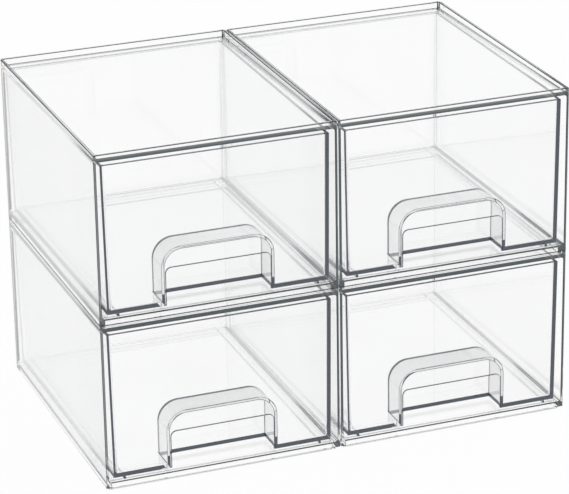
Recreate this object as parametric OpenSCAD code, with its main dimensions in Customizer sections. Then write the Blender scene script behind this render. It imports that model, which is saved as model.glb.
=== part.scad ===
// Four clear stacking drawer units for make-up, two wide and two high.
// Each unit is an open-fronted moulded case and a moulded drawer with an arched finger pull.
// Origin: centre of the footprint, on the surface the stack stands on. Front faces -Y, +Z is up.

/* [Stack] */
// Units side by side
columns = 2; // [2:1:2]
// Units on top of each other
rows = 2; // [2:1:2]
// Gap between two columns that stand side by side
column_gap = 0.4; // [0.3:0.05:5]

/* [Case] */
// Width over the side walls of one case
case_w = 171.5; // [140:0.5:230]
// Depth from the open front to the back wall
case_d = 220; // [170:1:280]
// Height from the foot of the walls to the top of the stacking rim
case_h = 120.5; // [90:0.5:170]
// Thickness of the side walls at the open front
case_wall = 2; // [1.8:0.1:3.2]
// Thickness of the back wall
back_wall = 2.4; // [1.8:0.1:3.2]
// Thickness of the top panel at the open front
top_wall = 2.1; // [1.8:0.1:3.2]
// Thickness of the floor panel
floor_wall = 2.2; // [1.6:0.1:3]
// Height of the floor's upper face over the foot of the walls
floor_level = 4.4; // [4:0.1:8]
// Draft: how much each side of the cavity is narrower at the back
cavity_draft = 1.6; // [0:0.1:1.8]
// Draft: how much lower the cavity's top is at the back
top_draft = 2.5; // [0:0.1:3]
// Draft: how much lower the top panel's upper face is at the back
panel_draft = 1.6; // [0:0.1:2.5]
// Radius of the outer vertical corners at the back
back_corner_r = 3; // [1:0.5:6]
// Radius of the outer vertical corners at the front
front_corner_r = 0.6; // [0.3:0.1:1.5]
// Radius inside the cavity
cavity_r = 1.6; // [0.8:0.1:2.5]

/* [Stacking rim and plinth] */
// Height of the rim over the top panel
rim_h = 3; // [1.5:0.1:5]
// Thickness of the rim
rim_wall = 2.3; // [1.6:0.1:3]
// Side clearance between the rim and the plinth of the unit above
nest_gap = 0.3; // [0.2:0.05:0.8]
// Clearance between the plinth and the top panel of the unit below
nest_lift = 0.6; // [0.4:0.1:1]
// Thickness of the plinth wall
plinth_wall = 2; // [1.4:0.1:3]

/* [Runners] */
// Distance from the outer face of the case to the middle of a runner
runner_inset = 14.3; // [12:0.1:24]
// Width of a runner
runner_w = 1.4; // [1:0.1:3]
// Height of a runner over the floor
runner_h = 1.4; // [1:0.1:4]
// Distance from the open front to the runner's front end
runner_start = 2.6; // [1:0.1:12]
// Radius of the runner's front nose
runner_nose = 1; // [0.5:0.1:2]

/* [Drawer] */
// Wall of the drawer
drawer_wall = 2.1; // [1.5:0.1:3]
// Floor of the drawer
drawer_floor = 2.2; // [1.5:0.1:3]
// Side clearance to the case walls, at the open front and the top edge
side_gap = 3; // [2.2:0.1:5]
// Clearance under the top panel at the open front
top_gap = 3.4; // [2.4:0.1:8]
// How far the drawer front stands behind the open front of the case
front_recess = 2.4; // [0:0.1:6]
// Clearance behind the drawer
rear_gap = 1.5; // [0.8:0.1:6]
// Draft: how much narrower each side of the drawer is at the bottom
drawer_draft = 1.2; // [0:0.1:2.5]
// Radius of the drawer's outer edges
drawer_edge_r = 0.5; // [0.4:0.1:1.5]
// Radius inside the drawer, where the walls meet the floor
drawer_inner_r = 1.8; // [1:0.1:4]
// Lift over the runners, a film of air that lets the drawer slide
runner_gap = 0.1; // [0.05:0.05:0.4]

/* [Finger pull] */
// Width over the pull's side walls
pull_w = 80; // [50:0.5:110]
// Height over the pull's arch
pull_h = 41; // [30:0.1:60]
// Depth from the drawer front to the back of the pull's rear wall
pull_d = 23.2; // [14:0.1:40]
// Thickness of the pull's walls
pull_wall = 1.6; // [1.2:0.1:2.4]
// Outer radius of the arch
pull_r = 14.5; // [6:0.5:20]
// Width of the opening in the drawer front
mouth_w = 74.8; // [40:0.1:100]
// Height of the opening in the drawer front
mouth_h = 26.9; // [18:0.1:45]
// Corner radius of the opening
mouth_r = 4; // [1:0.5:10]

/* [Hidden] */
$fn = 48;
soft_fn = 32;
eps = 0.01;
cut = 1;
slide_gap = 0.6;

// Stacking: the foot of a case rests on the rim below, the plinth hangs inside that rim
plinth_h = rim_h - nest_lift;
plinth_inset = rim_wall + nest_gap;
pitch_x = case_w + column_gap;
pitch_z = case_h;

// Cavity of the case, measured from the foot of its walls
cavity_w = case_w - 2 * case_wall;
cavity_top = case_h - rim_h - top_wall;
cavity_d = case_d - back_wall;
panel_z = case_h - rim_h;
runner_nose_used = min(runner_nose, 0.8 * runner_h);

// The drawer, closed
front_y = -case_d / 2;
drawer_y = front_y + front_recess;
drawer_z = floor_level + runner_h + runner_gap;
drawer_w = cavity_w - 2 * side_gap;
drawer_d = cavity_d - front_recess - rear_gap;
drawer_h = cavity_top - max(top_gap, top_draft + slide_gap) - drawer_z;
mouth_r_used = min(mouth_r, mouth_h / 2);

// Where the unit of one column and one row stands: centre of its width, foot of its walls
function unit_x(column) = (column - (columns - 1) / 2) * pitch_x;
function unit_z(row) = plinth_h + row * pitch_z;

// A rectangle with its lower left corner at the origin and two radii: front pair and back pair
module plate(w, d, r_front, r_back) {
    translate([r_front, 0]) square([w - 2 * r_front, d / 2]);
    translate([0, r_front]) square([w, d - r_front - r_back]);
    translate([r_back, d / 2]) square([w - 2 * r_back, d / 2]);
    for (x = [r_front, w - r_front]) translate([x, r_front]) circle(r_front);
    for (x = [r_back, w - r_back]) translate([x, d - r_back]) circle(r_back);
}

// A plate as a prism, set in by a margin from the outline of the case
module case_prism(margin, z0, z1) {
    translate([margin - case_w / 2, margin + front_y, z0])
        linear_extrude(z1 - z0)
            plate(case_w - 2 * margin, case_d - 2 * margin,
                  max(front_corner_r - margin, 0.3), max(back_corner_r - margin, 0.8));
}

// The space inside a case: open at the front, and smaller at the back by the draft
module case_cavity() {
    r = cavity_r;
    hull() {
        for (x = [-1, 1], z = [floor_level + r, cavity_top - r])
            translate([x * (cavity_w / 2 - r), front_y + cut, z])
                rotate([90, 0, 0]) cylinder(r = r, h = 2 * cut, $fn = soft_fn);
        for (x = [-1, 1], z = [floor_level + r, cavity_top - top_draft - r])
            translate([x * (cavity_w / 2 - cavity_draft - r), front_y + cavity_d - r, z])
                sphere(r = r, $fn = soft_fn);
    }
}

// The shallow tray on top of a case, inside the rim: its floor is the top panel, which falls
// by the draft towards the back
module top_tray() {
    difference() {
        case_prism(rim_wall, panel_z - panel_draft, case_h + cut);
        rotate([90, 0, 90])
            linear_extrude(case_w, center = true)
                polygon([
                    [front_y, panel_z - panel_draft - cut],
                    [-front_y, panel_z - panel_draft - cut],
                    [-front_y, panel_z - panel_draft],
                    [front_y, panel_z]
                ]);
    }
}

// A rib on the floor that carries the drawer, with a rounded nose at the front
module runner(side) {
    r = runner_nose_used;
    x = side * (case_w / 2 - runner_inset) - runner_w / 2;
    y0 = front_y + runner_start;
    length = cavity_d - runner_start + eps;
    translate([x, y0 + r, floor_level - eps])
        cube([runner_w, length - r, runner_h + eps]);
    translate([x, y0, floor_level - eps])
        cube([runner_w, r + eps, runner_h - r + eps]);
    translate([x, y0 + r, floor_level + runner_h - r])
        rotate([0, 90, 0]) cylinder(r = r, h = runner_w);
}

// One case, with the foot of its walls at z = 0
module case_shell() {
    difference() {
        union() {
            case_prism(0, 0, case_h);
            case_prism(plinth_inset, -plinth_h, eps);
        }
        top_tray();
        case_prism(plinth_inset + plinth_wall, -plinth_h - cut, floor_level - floor_wall);
        case_cavity();
    }
    for (side = [-1, 1]) runner(side);
}

// A tray-shaped block: wide at the top, drafted and rounded at the bottom
module tray_block(w, d, h, r, draft) {
    hull() {
        for (x = [-1, 1], y = [r, d - r])
            translate([x * (w / 2 - r), y, h - eps]) cylinder(r = r, h = eps, $fn = soft_fn);
        for (x = [-1, 1], y = [r, d - r - draft])
            translate([x * (w / 2 - draft - r), y, r]) sphere(r = r, $fn = soft_fn);
    }
}

// An arch standing on y = 0: straight legs, flat crown and round shoulders
module arch(w, h, r, d) {
    translate([0, d, 0])
        rotate([90, 0, 0])
            linear_extrude(d) {
                translate([-w / 2, 0]) square([w, h - r]);
                translate([r - w / 2, 0]) square([w - 2 * r, h]);
                for (x = [-1, 1]) translate([x * (w / 2 - r), h - r]) circle(r);
            }
}

// One drawer, with the middle of its front at the origin and its underside at z = 0
module drawer_tray() {
    difference() {
        union() {
            difference() {
                tray_block(drawer_w, drawer_d, drawer_h, drawer_edge_r, drawer_draft);
                translate([0, drawer_wall, drawer_floor])
                    tray_block(drawer_w - 2 * drawer_wall, drawer_d - 2 * drawer_wall,
                               drawer_h - drawer_floor + cut, drawer_inner_r, drawer_draft);
            }
            translate([0, drawer_wall / 2, drawer_floor / 2])
                arch(pull_w, pull_h - drawer_floor / 2, pull_r, pull_d - drawer_wall / 2);
        }
        translate([0, drawer_wall, -cut])
            arch(pull_w - 2 * pull_wall, pull_h - pull_wall + cut, pull_r - pull_wall,
                 pull_d - pull_wall - drawer_wall);
        translate([0, -cut, -cut])
            arch(mouth_w, mouth_h + cut, mouth_r_used, drawer_wall + 2 * cut);
    }
}

module case_unit(column, row) {
    color([0.93, 0.95, 0.96, 0.35])
        translate([unit_x(column), 0, unit_z(row)]) case_shell();
}

module drawer_unit(column, row) {
    color([0.86, 0.90, 0.93, 0.45])
        translate([unit_x(column), drawer_y, unit_z(row) + drawer_z]) drawer_tray();
}

module case_lower_left() { case_unit(0, 0); }
module case_lower_right() { case_unit(1, 0); }
module case_upper_left() { case_unit(0, 1); }
module case_upper_right() { case_unit(1, 1); }
module drawer_lower_left() { drawer_unit(0, 0); }
module drawer_lower_right() { drawer_unit(1, 0); }
module drawer_upper_left() { drawer_unit(0, 1); }
module drawer_upper_right() { drawer_unit(1, 1); }

case_lower_left();
case_lower_right();
case_upper_left();
case_upper_right();
drawer_lower_left();
drawer_lower_right();
drawer_upper_left();
drawer_upper_right();
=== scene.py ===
"""Looks of the clear stacking drawers: camera, light, floor and the clear plastic.

Lengths are metres and the frame is the part's own: origin in the middle of the footprint,
fronts towards -Y, +Z up.
"""
import math

import bmesh
import bpy
import numpy
from mathutils import Matrix, Vector


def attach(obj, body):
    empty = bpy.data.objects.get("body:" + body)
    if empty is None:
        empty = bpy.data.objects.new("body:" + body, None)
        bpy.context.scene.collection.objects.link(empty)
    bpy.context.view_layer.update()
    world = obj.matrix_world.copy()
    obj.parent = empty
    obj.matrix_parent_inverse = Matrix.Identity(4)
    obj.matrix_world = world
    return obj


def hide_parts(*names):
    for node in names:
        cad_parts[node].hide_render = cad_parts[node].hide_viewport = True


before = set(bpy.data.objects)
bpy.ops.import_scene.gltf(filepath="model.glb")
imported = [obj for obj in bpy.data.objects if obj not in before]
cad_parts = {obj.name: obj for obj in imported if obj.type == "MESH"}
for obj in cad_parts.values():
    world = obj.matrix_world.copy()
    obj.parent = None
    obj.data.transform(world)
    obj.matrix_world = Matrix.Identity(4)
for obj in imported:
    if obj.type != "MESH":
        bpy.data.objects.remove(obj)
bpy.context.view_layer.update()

# Camera, fitted to the corners of the four cases
CAMERA_PLACE = Vector((-0.69375, -1.84603, 0.90538))
CAMERA_YAW = math.radians(20.648)
CAMERA_PITCH = math.radians(21.919)
CAMERA_ROLL = math.radians(-0.968)
FOCAL_PIXELS = 2965.0
IMAGE_WIDTH = 569
SENSOR_WIDTH = 36.0
CLIP_END = 50.0

# The room: how bright it is as a background and as a light
WHITE = (1.0, 1.0, 1.0, 1.0)
ROOM_SEEN = 1.0
ROOM_LIT = 0.55
# Each softbox: name, place, side and power
SOFTBOXES = (
    ("key_softbox", (-1.2, -1.4, 2.2), 1.6, 22.0),
    ("fill_softbox", (1.6, 0.6, 1.9), 1.8, 12.0),
)
SOFTBOX_AIM = Vector((0.0, 0.0, 0.12))

# The floor: half its side, its paper, and the share of it that shows as plain white
FLOOR_HALF = 20.0
FLOOR_COLOUR = (0.92, 0.92, 0.92, 1.0)
FLOOR_ROUGHNESS = 0.9
FLOOR_WHITE_SHARE = 0.96

# Scratches: fine noise drawn out along Y, of which only the peaks count
SCRATCH_STRETCH = (1.0, 0.06, 1.0)
SCRATCH_SCALE = 900.0
SCRATCH_DETAIL = 3.0
SCRATCH_FROM, SCRATCH_TO = 0.62, 0.72
SCRATCH_ROUGHNESS = 0.03
POLISH_ROUGHNESS = 0.0
# Flow waves: broad noise that tints most surfaces faintly, and the finger pull more as painted
# shade
WAVE_SCALE = 14.0
WAVE_DETAIL = 1.0
WAVE_TINT = 0.02
PULL_PAINTED_SHADE_TINT = 0.3
BUMP_STRENGTH = 0.04
BUMP_DISTANCE = 0.0004

# Clear plastic
INDEX = 1.49
ABSORPTION = 2.0
# Surfaces a ray passes, or mirror reflections, before its last surface glows with one painted
# colour in place of the rest of its way
DEEPEST = 7.5
MOST_MIRRORED = 3.5
# The most of that painted colour that a single surface mixes in, where light is caught inside a
# wall
LOSS = 0.05
# How dark the painted shade of light caught inside a wall is away from the front: below the rims,
# and in the top rims
FAR_SHARE = 0.55
RIM_SHARE = 0.12
RIM_FROM = 0.234
RIM_TO = 0.238
# Surfaces a ray may pass and still meet a rounded edge as a painted dark edge; its painted colour
# and share follow
OUTLINE_DEPTH = 2.5
CASE_PAINTED_EDGE_SHADE, CASE_PAINTED_EDGE_SHADE_SHARE = (0.02, 0.027, 0.03, 1.0), 0.9
DRAWER_PAINTED_EDGE_SHADE, DRAWER_PAINTED_EDGE_SHADE_SHARE = (0.02, 0.025, 0.04, 1.0), 0.75
# What shadow rays keep, the painted shade and painted near-white glow that a long way ends in, the
# tint of the plastic itself, and the places along Y where the painted shade is fully dark and
# where lightest
CASE_LOOK = {
    "shadow": (0.97, 0.975, 0.975, 1.0),
    "painted_shade": (0.07, 0.085, 0.09, 1.0),
    "painted_glow": (0.985, 0.99, 0.99, 1.0),
    "absorbed": (0.2, 0.3, 0.32, 1.0),
    "dark_to": -0.07,
    "light_from": -0.03,
}
DRAWER_LOOK = {
    "shadow": (0.97, 0.97, 0.98, 1.0),
    "painted_shade": (0.07, 0.08, 0.1, 1.0),
    "painted_glow": (0.985, 0.985, 0.99, 1.0),
    "absorbed": (0.2, 0.27, 0.34, 1.0),
    "dark_to": -0.05,
    "light_from": -0.025,
}

NODE_BODIES = {
    "case_lower_left": "base",
    "case_lower_right": "base",
    "case_upper_left": "upper_left",
    "case_upper_right": "upper_right",
    "drawer_lower_left": "tray_lower_left",
    "drawer_lower_right": "tray_lower_right",
    "drawer_upper_left": "tray_upper_left",
    "drawer_upper_right": "tray_upper_right",
}

# Points closer than this become one before the rounding, so that no arc folds over at a small
# corner
MERGE = {"case": 0.00045, "drawer": 0.00015}
# Faces that turn less than this are one flat face, and edges that turn more than this get an arc
FLAT_TURN = math.radians(0.5)
SHARP_TURN = math.radians(30)
# Edges that still turn more than this after the rounding are shaded as creases
CREASE_TURN = math.radians(12)
# Radius of the arcs: in general, and along the top of the rim, which is rounder
EDGE_ROUND = 0.00035
RIM_ROUND = 0.0005
RIM_BAND = 0.0001
ARC_SEGMENTS = 2
ARC_PROFILE = 0.5
NORMAL_WEIGHT = 100
# Where the runners are in a case: height above its lowest point, and half the box they lie in
RUNNER_LOW, RUNNER_HIGH = 0.0043, 0.0059
RUNNER_HALF_WIDTH = 0.078
RUNNER_HALF_LENGTH = 0.1078
# The rounded upright corners lie behind this, and their strips, which get the painted dark edge,
# turn by these degrees from X to Y
CORNER_FROM = 0.1035
CORNER_STRIPS = ((6.0, 30.0), (60.0, 84.0))
MOST_UPRIGHT_TILT = 0.15
# The box round the finger pull of a drawer, whose arch gets painted shade, and how far a face of
# its arch may face the front
PULL_HALF_WIDTH = 0.0405
PULL_HEIGHT = 0.0415
PULL_FRONT, PULL_BACK = -0.107, -0.083
MOST_FORWARD = 0.6
# Material slots of a piece's mesh; slot 0 is the plain plastic, the edge slot has the painted dark
# edge and the pull slot the painted grey shade of the finger pull
EDGE_SLOT = 1
PULL_SLOT = 2


def link(tree, source, target):
    """Joins an output socket to an input socket."""
    tree.links.new(source, target)


def feed(tree, node, inputs):
    """Gives a node its inputs, by name or number: a socket is joined, a plain value is set."""
    for key, value in inputs.items():
        if isinstance(value, bpy.types.NodeSocket):
            link(tree, value, node.inputs[key])
        else:
            node.inputs[key].default_value = value
    return node


def add(tree, kind, inputs=None, **settings):
    """Adds a shader node, with its plain settings by name and its inputs as feed takes them."""
    made = tree.nodes.new(kind)
    for name, value in settings.items():
        setattr(made, name, value)
    return feed(tree, made, inputs or {})


def worked(tree, operation, *values):
    """The result of a Math node on the values, each a socket or a number."""
    return add(tree, "ShaderNodeMath", dict(enumerate(values)), operation=operation).outputs[0]


def mixed(tree, share, first, second):
    """The first shader where share is 0, the second where it is 1, and both between."""
    return add(tree, "ShaderNodeMixShader", {0: share, 1: first, 2: second}).outputs[0]


def new_material(name):
    """A material with nodes, and its tree."""
    material = bpy.data.materials.new(name)
    material.use_nodes = True
    return material, material.node_tree


def show(tree, shader):
    """Joins a shader to the material's surface."""
    link(tree, shader, tree.nodes["Material Output"].inputs["Surface"])


def set_camera():
    """Places the camera, which looks ahead and then rolls round its line of sight.

    Ahead is (sin yaw cos pitch, cos yaw cos pitch, -sin pitch).
    """
    ahead = Vector((math.sin(CAMERA_YAW) * math.cos(CAMERA_PITCH),
                    math.cos(CAMERA_YAW) * math.cos(CAMERA_PITCH),
                    -math.sin(CAMERA_PITCH)))
    level = Vector((math.cos(CAMERA_YAW), -math.sin(CAMERA_YAW), 0.0))
    above = level.cross(ahead)
    right = math.cos(CAMERA_ROLL) * level + math.sin(CAMERA_ROLL) * above
    up = math.cos(CAMERA_ROLL) * above - math.sin(CAMERA_ROLL) * level
    camera = bpy.data.objects.new("camera", bpy.data.cameras.new("camera"))
    bpy.context.scene.collection.objects.link(camera)
    camera.matrix_world = (Matrix.Translation(CAMERA_PLACE)
                           @ Matrix((right, up, -ahead)).transposed().to_4x4())
    camera.data.sensor_width = SENSOR_WIDTH
    camera.data.lens = FOCAL_PIXELS / IMAGE_WIDTH * SENSOR_WIDTH
    camera.data.clip_end = CLIP_END
    bpy.context.scene.camera = camera


def sees_background(tree):
    """1 for camera, glossy and transmission rays, which see a plain white background, else 0."""
    path = add(tree, "ShaderNodeLightPath").outputs
    direct = worked(tree, "MAXIMUM", path["Is Camera Ray"], path["Is Glossy Ray"])
    return worked(tree, "MAXIMUM", direct, path["Is Transmission Ray"])


def set_world():
    """A white studio all round, dimmer as a light than as a background."""
    world = bpy.data.worlds.new("studio")
    bpy.context.scene.world = world
    world.use_nodes = True
    tree = world.node_tree
    seen = feed(tree, tree.nodes["Background"], {"Color": WHITE, "Strength": ROOM_SEEN})
    lit = add(tree, "ShaderNodeBackground", {"Color": WHITE, "Strength": ROOM_LIT})
    room = mixed(tree, sees_background(tree), lit.outputs[0], seen.outputs[0])
    link(tree, room, tree.nodes["World Output"].inputs["Surface"])


def softbox(name, place, side, power):
    """A square area lamp at place that faces the middle of the stack."""
    lamp = bpy.data.objects.new(name, bpy.data.lights.new(name, "AREA"))
    bpy.context.scene.collection.objects.link(lamp)
    lamp.data.shape = "SQUARE"
    lamp.data.size = side
    lamp.data.energy = power
    lamp.location = place
    aim = SOFTBOX_AIM - Vector(place)
    lamp.rotation_euler = aim.to_track_quat("-Z", "Y").to_euler()


def set_floor():
    """A pale floor that shows as white and keeps a faint shadow of the stack."""
    half = FLOOR_HALF
    mesh = bpy.data.meshes.new("floor")
    mesh.from_pydata([(-half, -half, 0.0), (half, -half, 0.0), (half, half, 0.0),
                      (-half, half, 0.0)], [], [(0, 1, 2, 3)])
    floor = bpy.data.objects.new("floor", mesh)
    bpy.context.scene.collection.objects.link(floor)
    material, tree = new_material("floor_paper")
    paper = feed(tree, tree.nodes["Principled BSDF"],
                 {"Base Color": FLOOR_COLOUR, "Roughness": FLOOR_ROUGHNESS})
    glow = add(tree, "ShaderNodeEmission", {"Color": WHITE})
    share = worked(tree, "MULTIPLY", sees_background(tree), FLOOR_WHITE_SHARE)
    show(tree, mixed(tree, share, paper.outputs[0], glow.outputs[0]))
    mesh.materials.append(material)


def moulding_marks():
    """A node group: faint flow waves and fine scratches of a polished moulding.

    It works on Object coordinates. Tint is white less the waves times their amount, which on the
    finger pull is large and paints shade, Roughness is a base roughness plus the scratches times
    theirs, and Height is the waves alone.
    """
    group = bpy.data.node_groups.new("moulding_marks", "ShaderNodeTree")
    face = group.interface
    face.new_socket("Coordinates", in_out="INPUT", socket_type="NodeSocketVector")
    for name, value in (("Roughness", POLISH_ROUGHNESS), ("Scratches", SCRATCH_ROUGHNESS),
                        ("Waves_and_shade", WAVE_TINT)):
        socket = face.new_socket(name, in_out="INPUT", socket_type="NodeSocketFloat")
        socket.default_value = value
    for name, kind in (("Tint", "NodeSocketColor"), ("Roughness", "NodeSocketFloat"),
                       ("Height", "NodeSocketFloat")):
        face.new_socket(name, in_out="OUTPUT", socket_type=kind)
    given = add(group, "NodeGroupInput").outputs
    stretch = add(group, "ShaderNodeMapping",
                  {"Vector": given["Coordinates"], "Scale": SCRATCH_STRETCH})
    scratch = add(group, "ShaderNodeTexNoise",
                  {"Vector": stretch.outputs[0], "Scale": SCRATCH_SCALE, "Detail": SCRATCH_DETAIL})
    thin = add(group, "ShaderNodeMapRange",
               {"Value": scratch.outputs["Fac"], "From Min": SCRATCH_FROM, "From Max": SCRATCH_TO})
    rough = worked(group, "MULTIPLY_ADD", thin.outputs[0], given["Scratches"], given["Roughness"])
    wave = add(group, "ShaderNodeTexNoise",
               {"Vector": given["Coordinates"], "Scale": WAVE_SCALE, "Detail": WAVE_DETAIL})
    height = wave.outputs["Fac"]
    dim = worked(group, "MULTIPLY", height, given["Waves_and_shade"])
    left = worked(group, "SUBTRACT", 1.0, dim)
    tint = add(group, "ShaderNodeCombineColor", {"Red": left, "Green": left, "Blue": left})
    add(group, "NodeGroupOutput",
        {"Tint": tint.outputs[0], "Roughness": rough, "Height": height})
    return group


def polished(tree, marks, wave_and_shade_tint=WAVE_TINT):
    """The tree's Principled shader as clear plastic with the moulding marks, and its coordinates.

    The marks give it its tint, which on the finger pull is painted shade, its roughness and a very
    slight bump.
    """
    place = add(tree, "ShaderNodeTexCoord").outputs["Object"]
    drawn = add(tree, "ShaderNodeGroup", {"Coordinates": place, "Waves_and_shade": wave_and_shade_tint},
                node_tree=marks).outputs
    bump = add(tree, "ShaderNodeBump", {"Strength": BUMP_STRENGTH, "Distance": BUMP_DISTANCE,
                                        "Height": drawn["Height"]})
    glass = feed(tree, tree.nodes["Principled BSDF"], {
        "IOR": INDEX, "Transmission Weight": 1.0, "Base Color": drawn["Tint"],
        "Roughness": drawn["Roughness"], "Normal": bump.outputs[0]})
    return glass.outputs[0], place


def lets_light_by(tree, path, body, shadow):
    """Shows the body's shader, and lets shadow rays pass with a slight loss."""
    clear = add(tree, "ShaderNodeBsdfTransparent", {"Color": shadow})
    show(tree, mixed(tree, path["Is Shadow Ray"], body, clear.outputs[0]))


def clear_plastic(name, marks, shadow, painted_shade, painted_glow, absorbed, dark_to, light_from,
                  wave_and_shade_tint=WAVE_TINT):
    """Clear moulded plastic: it bends light, and light caught in a wall ends in painted shade at
    the front.

    Caught light is what Fresnel's law mirrors at a wall seen from its inside. It counts in full
    in front of dark_to and falls smoothly to the far share or the rim's at light_from. A ray's
    last surface glows with the painted shade colour by that much and the painted near-white glow
    by the rest.
    """
    material, tree = new_material(name)
    glass, place = polished(tree, marks, wave_and_shade_tint)
    path = add(tree, "ShaderNodeLightPath").outputs
    last = worked(tree, "MAXIMUM",
                  worked(tree, "GREATER_THAN", path["Ray Depth"], DEEPEST),
                  worked(tree, "GREATER_THAN", path["Glossy Depth"], MOST_MIRRORED))
    mirror = add(tree, "ShaderNodeFresnel", {"IOR": INDEX})
    surface = add(tree, "ShaderNodeNewGeometry").outputs
    caught = worked(tree, "MULTIPLY", mirror.outputs[0], surface["Backfacing"])
    along = add(tree, "ShaderNodeSeparateXYZ", {0: place}).outputs
    least = add(tree, "ShaderNodeMapRange", {
        "Value": along["Z"], "From Min": RIM_FROM, "From Max": RIM_TO,
        "To Min": FAR_SHARE, "To Max": RIM_SHARE})
    near = add(tree, "ShaderNodeMapRange", {
        "Value": along["Y"], "From Min": light_from, "From Max": dark_to,
        "To Min": least.outputs[0]}, interpolation_type="SMOOTHSTEP")
    dark = worked(tree, "MULTIPLY", caught, near.outputs[0])
    # The painted colour: a near-white glow, turned into painted shade where light is caught near
    # the front
    colour = add(tree, "ShaderNodeMix", {"Factor": dark, "A": painted_glow, "B": painted_shade},
                 data_type="RGBA")
    ending = add(tree, "ShaderNodeEmission", {"Color": colour.outputs["Result"]})
    share = worked(tree, "MAXIMUM", last, worked(tree, "MULTIPLY", dark, LOSS))
    body = mixed(tree, share, glass, ending.outputs[0])
    lets_light_by(tree, path, body, shadow)
    inner = add(tree, "ShaderNodeVolumeAbsorption", {"Color": absorbed, "Density": ABSORPTION})
    link(tree, inner.outputs[0], tree.nodes["Material Output"].inputs["Volume"])
    return material


def edge_plastic(name, marks, shadow, painted_edge_shade, painted_edge_shade_share):
    """The rounded edges: clear plastic with a share of painted dark where few surfaces lie before
    them.

    The dark stands for the unlit side of a room, which such an edge bends into view.
    """
    material, tree = new_material(name)
    glass, _ = polished(tree, marks)
    path = add(tree, "ShaderNodeLightPath").outputs
    dark = add(tree, "ShaderNodeEmission", {"Color": painted_edge_shade})
    shallow = worked(tree, "LESS_THAN", path["Ray Depth"], OUTLINE_DEPTH)
    share = worked(tree, "MULTIPLY", shallow, painted_edge_shade_share)
    body = mixed(tree, share, glass, dark.outputs[0])
    lets_light_by(tree, path, body, shadow)
    return material


def turn(edge):
    """The angle between the two faces at an edge, or 0 where there aren't two."""
    return edge.calc_face_angle(0.0) if len(edge.link_faces) == 2 else 0.0


def low_corner(mesh):
    """The least x, y and z of a mesh's vertices."""
    places = numpy.empty(3 * len(mesh.vertices), dtype=numpy.float32)
    mesh.vertices.foreach_get("co", places)
    return Vector(places.reshape(-1, 3).min(axis=0).tolist())


def is_runner(edge, low, middle):
    """True for an edge of the ribs on a case's floor, which stay crisp."""
    return all(RUNNER_LOW < vertex.co.z - low < RUNNER_HIGH
               and abs(vertex.co.x - middle) <= RUNNER_HALF_WIDTH
               and abs(vertex.co.y) <= RUNNER_HALF_LENGTH for vertex in edge.verts)


def round_edges(work, edges, radius, clamped):
    """Puts an arc of the given radius along each edge; its faces get the slot of the edges, with
    its painted dark edge.
    """
    bmesh.ops.bevel(work, geom=edges, offset=radius, offset_type="OFFSET",
                    segments=ARC_SEGMENTS, profile=ARC_PROFILE, affect="EDGES",
                    clamp_overlap=clamped, material=EDGE_SLOT)


def bends_at_corner(face):
    """True for the two outer thirds of a rounded upright back corner, where light bends most and
    the painted dark edge goes.
    """
    if abs(face.normal.z) > MOST_UPRIGHT_TILT or face.calc_center_median().y < CORNER_FROM:
        return False
    angle = math.degrees(math.atan2(abs(face.normal.y), abs(face.normal.x)))
    return any(least < angle < most for least, most in CORNER_STRIPS)


def is_pull_arch(face, low, middle):
    """True for the crown, corners and side walls of the finger pull, which get a painted grey
    shade.
    """
    centre = face.calc_center_median()
    return (face.material_index == 0 and abs(face.normal.y) < MOST_FORWARD
            and abs(centre.x - middle) < PULL_HALF_WIDTH and centre.z < low + PULL_HEIGHT
            and PULL_FRONT < centre.y < PULL_BACK)


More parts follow.
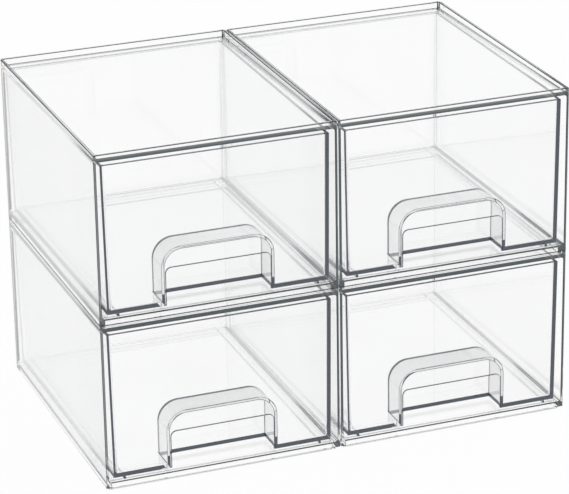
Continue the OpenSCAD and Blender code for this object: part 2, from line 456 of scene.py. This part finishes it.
def rounded(kind, node):
    """A copy of a CAD piece with its moulded edges rounded.

    It has the same faces, and along each edge that turns sharply an arc that touches both faces.
    """
    work = bmesh.new()
    work.from_mesh(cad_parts[node].data)
    bmesh.ops.remove_doubles(work, verts=work.verts, dist=MERGE[kind])
    bmesh.ops.dissolve_limit(work, angle_limit=FLAT_TURN, verts=work.verts, edges=work.edges)
    heights = [vertex.co.z for vertex in work.verts]
    across = [vertex.co.x for vertex in work.verts]
    low, top, middle = min(heights), max(heights), (min(across) + max(across)) / 2
    sharp = [edge for edge in work.edges if turn(edge) > SHARP_TURN]
    if kind == "case":
        sharp = [edge for edge in sharp if not is_runner(edge, low, middle)]
        rim = [edge for edge in sharp
               if min(vertex.co.z for vertex in edge.verts) > top - RIM_BAND]
        rest = [edge for edge in sharp if edge not in rim]
        round_edges(work, rim, RIM_ROUND, clamped=True)
        round_edges(work, [edge for edge in rest if edge.is_valid], EDGE_ROUND, clamped=True)
        # The strips where a back corner bends light most get the edge material, with its painted
        # dark edge
        for face in work.faces:
            if bends_at_corner(face):
                face.material_index = EDGE_SLOT
    else:
        round_edges(work, sharp, EDGE_ROUND, clamped=False)
        # The finger pull's arch gets its own plastic, tinted grey as painted shade
        for face in work.faces:
            if is_pull_arch(face, low, middle):
                face.material_index = PULL_SLOT
    bmesh.ops.triangulate(work, faces=work.faces)
    for face in work.faces:
        face.smooth = True
    for edge in work.edges:
        edge.smooth = turn(edge) < CREASE_TURN
    mesh = bpy.data.meshes.new(kind + "_moulded")
    work.to_mesh(mesh)
    work.free()
    # The normals that a CAD piece brings along don't fit its rounded edges
    if "custom_normal" in mesh.attributes:
        mesh.attributes.remove(mesh.attributes["custom_normal"])
    return mesh


def place_piece(node, body, mould, from_node, materials):
    """Puts a copy of the rounded moulding where the node is.

    The copy moves by the step between the low corners of the two CAD pieces.
    """
    mesh = mould.copy()
    step = low_corner(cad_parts[node].data) - low_corner(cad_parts[from_node].data)
    mesh.transform(Matrix.Translation(step))
    for material in materials:
        mesh.materials.append(material)
    piece = bpy.data.objects.new(node + "_moulded", mesh)
    bpy.context.scene.collection.objects.link(piece)
    even = piece.modifiers.new("even_normals", "WEIGHTED_NORMAL")
    even.mode = "FACE_AREA"
    even.weight = NORMAL_WEIGHT
    even.keep_sharp = True
    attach(piece, body)
    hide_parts(node)


bpy.context.scene.view_settings.view_transform = "Standard"
set_camera()
set_world()
for name, place, side, power in SOFTBOXES:
    softbox(name, place, side, power)
set_floor()

marks = moulding_marks()
case_plastic = clear_plastic("clear_case", marks, **CASE_LOOK)
drawer_plastic = clear_plastic("clear_drawer", marks, **DRAWER_LOOK)
# The finger pull: the same plastic, with the waves tinting it much more as painted shade
pull_plastic = clear_plastic("clear_drawer_pull", marks, wave_and_shade_tint=PULL_PAINTED_SHADE_TINT, **DRAWER_LOOK)
case_edges = edge_plastic("clear_case_edges", marks, CASE_LOOK["shadow"], CASE_PAINTED_EDGE_SHADE,
                          CASE_PAINTED_EDGE_SHADE_SHARE)
drawer_edges = edge_plastic("clear_drawer_edges", marks, DRAWER_LOOK["shadow"], DRAWER_PAINTED_EDGE_SHADE,
                            DRAWER_PAINTED_EDGE_SHADE_SHARE)

# Each kind of moulding: the node its shape comes from, its materials in the order of the mesh's
# slots, and the record's material slot
KINDS = {
    "case": ("case_upper_left", (case_plastic, case_edges), "clear_case"),
    "drawer": ("drawer_upper_left", (drawer_plastic, drawer_edges, pull_plastic),
               "clear_drawer"),
}
for kind, (from_node, materials, slot) in KINDS.items():
    mould = rounded(kind, from_node)
    for node, body in NODE_BODIES.items():
        if node.startswith(kind):
            place_piece(node, body, mould, from_node, materials)
